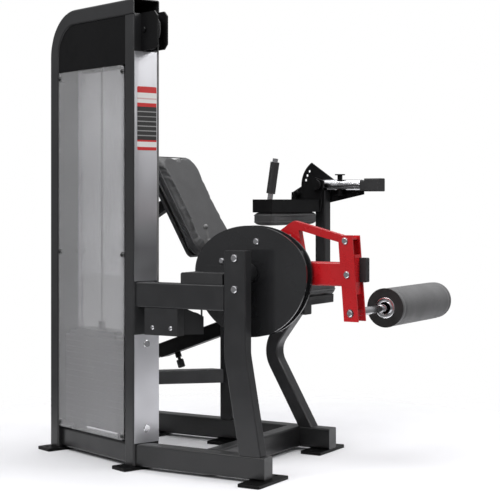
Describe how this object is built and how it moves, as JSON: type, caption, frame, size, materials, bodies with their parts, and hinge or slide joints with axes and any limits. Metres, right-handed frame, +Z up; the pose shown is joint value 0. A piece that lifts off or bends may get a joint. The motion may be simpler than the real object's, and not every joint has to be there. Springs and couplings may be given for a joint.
{
  "type": "selectorized seated leg curl and extension machine",
  "caption": "Gym leg machine: padded seat with a thigh hold-down, a swinging red arm carrying a padded roller, and a shielded weight stack driven by a cam, cable and pulleys.",
  "frame": {"origin": "centre of the outline on the floor", "axes": "+Z up, +X the way the user faces, +Y from the arm's side towards the seat's far side"},
  "size_m": [1.2444, 0.9096, 1.49],
  "materials": {
    "charcoal_paint": "satin charcoal powder coat",
    "gloss_charcoal": "gloss charcoal powder coat",
    "black_paint": "satin black powder coat",
    "silver_paint": "silver grey powder coat",
    "red_paint": "gloss red powder coat",
    "chrome": "polished",
    "brushed_plate": "brushed",
    "smoked_shield": "smoked clear plastic",
    "black_fasteners": "black zinc",
    "plate_black": "black cast plates",
    "black_rubber": "moulded",
    "cable_grey": "coated steel cable",
    "pulley_nylon": "nylon",
    "roller_core_black": "moulded",
    "dark_vinyl": "upholstery vinyl",
    "grey_vinyl": "upholstery vinyl",
    "board": "black faced board"
  },
  "bodies": {
    "frame": {"near_rail": "charcoal_paint", "far_rail": "charcoal_paint", "cross_tube": "charcoal_paint", "foot_plates": "black_paint", "near_post": "charcoal_paint", "side_arm": "charcoal_paint", "far_leg": "charcoal_paint", "seat_column": "charcoal_paint", "seat_frame": "charcoal_paint", "brace_tube": "silver_paint", "tower_frame": "charcoal_paint", "shield_near": "smoked_shield", "shield_far": "smoked_shield", "top_shrouds": "black_paint", "shield_bolts": "black_fasteners", "upright_covers": "brushed_plate", "resting_plates": "plate_black", "guide_rods": "chrome", "rubber_buffers": "black_rubber", "top_pulley_bracket": "black_paint", "transfer_bracket": "charcoal_paint", "main_cable": "cable_grey", "bearing_housing": "charcoal_paint", "seat_cushion": "dark_vinyl", "seat_board": "board", "carriage_tube": "black_paint", "thigh_post": "charcoal_paint", "chrome_bar": "chrome", "bar_end_block": "black_rubber", "sector_plate": "black_paint", "hold_pivot": "black_paint", "frame_bolts": "chrome"},
    "swing": {"cam": "gloss_charcoal", "cam_cable": "cable_grey", "pivot_shaft": "chrome", "swing_arm": "red_paint", "swing_plate_near": "red_paint", "swing_plate_far": "red_paint", "swing_rubber": "black_rubber", "swing_bolts": "chrome", "roller_shaft": "chrome"},
    "roller": {"roller_pad": "grey_vinyl", "roller_core": "roller_core_black"},
    "stack": {"head_plate": "plate_black", "lifted_plates": "plate_black", "stack_cable": "cable_grey"},
    "selector": {"selector_pin": "black_rubber"},
    "inner_pulley": {"inner_top_pulley": "pulley_nylon"},
    "outer_pulley": {"outer_top_pulley": "pulley_nylon"},
    "tower_pulley": {"tower_side_pulley": "pulley_nylon"},
    "cam_pulley": {"cam_side_pulley": "pulley_nylon"},
    "hold_down": {"thigh_cushion": "dark_vinyl", "thigh_bracket": "black_paint", "hold_handle": "chrome", "handle_grip": "black_rubber"},
    "hold_pin": {"thigh_pin": "black_paint"},
    "backrest": {"backrest_cushion": "dark_vinyl", "backrest_board": "board", "backrest_support": "black_paint"},
    "backrest_lock": {"backrest_pin": "black_rubber"}
  },
  "joints": [
    {"name": "arm_pivot", "type": "hinge", "parent": "frame", "child": "swing", "pos_m": [0.23722, -0.27525, 0.628], "axis": [0, 1, 0], "range_deg": [0, 82]},
    {"name": "roller_spin", "type": "hinge", "parent": "swing", "child": "roller", "pos_m": [0.56022, 0.20275, 0.512], "axis": [0, 1, 0], "continuous": true},
    {"name": "stack_lift", "type": "slide", "parent": "frame", "child": "stack", "axis": [0, 0, 1], "range_m": [0, 0.2696], "deforming": ["stack_cable"]},
    {"name": "selector_pull", "type": "slide", "parent": "stack", "child": "selector", "axis": [0.342, 0.9397, 0], "range_m": [0, 0.11]},
    {"name": "inner_pulley_spin", "type": "hinge", "parent": "frame", "child": "inner_pulley", "pos_m": [-0.30989, -0.27776, 1.391], "axis": [0.342, 0.9397, 0], "range_deg": [0, 370]},
    {"name": "outer_pulley_spin", "type": "hinge", "parent": "frame", "child": "outer_pulley", "pos_m": [-0.09189, -0.35711, 1.391], "axis": [0.342, 0.9397, 0], "range_deg": [0, 370]},
    {"name": "tower_pulley_spin", "type": "hinge", "parent": "frame", "child": "tower_pulley", "pos_m": [-0.03063, -0.35085, 0.47], "axis": [-0.6875, 0.7262, 0], "range_deg": [-516, 0]},
    {"name": "cam_pulley_spin", "type": "hinge", "parent": "frame", "child": "cam_pulley", "pos_m": [0.03034, -0.29313, 0.466], "axis": [-0.6875, 0.7262, 0], "range_deg": [-595, 0]},
    {"name": "hold_down_pivot", "type": "hinge", "parent": "frame", "child": "hold_down", "pos_m": [0.11922, 0.38275, 0.906], "axis": [0, 1, 0], "range_deg": [-20, 70]},
    {"name": "hold_pin_pull", "type": "slide", "parent": "hold_down", "child": "hold_pin", "axis": [0, -1, 0], "range_m": [0, 0.012], "stiffness_N_per_m": 600, "springref_m": -0.01},
    {"name": "backrest_slide", "type": "slide", "parent": "frame", "child": "backrest", "axis": [0.9397, 0, 0.342], "range_m": [-0.06, 0.03]},
    {"name": "backrest_pin_pull", "type": "slide", "parent": "frame", "child": "backrest_lock", "axis": [0.342, 0, -0.9397], "range_m": [0, 0.012], "stiffness_N_per_m": 600, "springref_m": -0.01}
  ],
  "couplings": [
    {"joint": "stack_lift", "follows": "arm_pivot", "m_per_rad": 0.188},
    {"joint": "inner_pulley_spin", "follows": "arm_pivot", "ratio": 4.4762},
    {"joint": "outer_pulley_spin", "follows": "arm_pivot", "ratio": 4.4762},
    {"joint": "tower_pulley_spin", "follows": "arm_pivot", "ratio": -6.2667},
    {"joint": "cam_pulley_spin", "follows": "arm_pivot", "ratio": -7.2308}
  ]
}
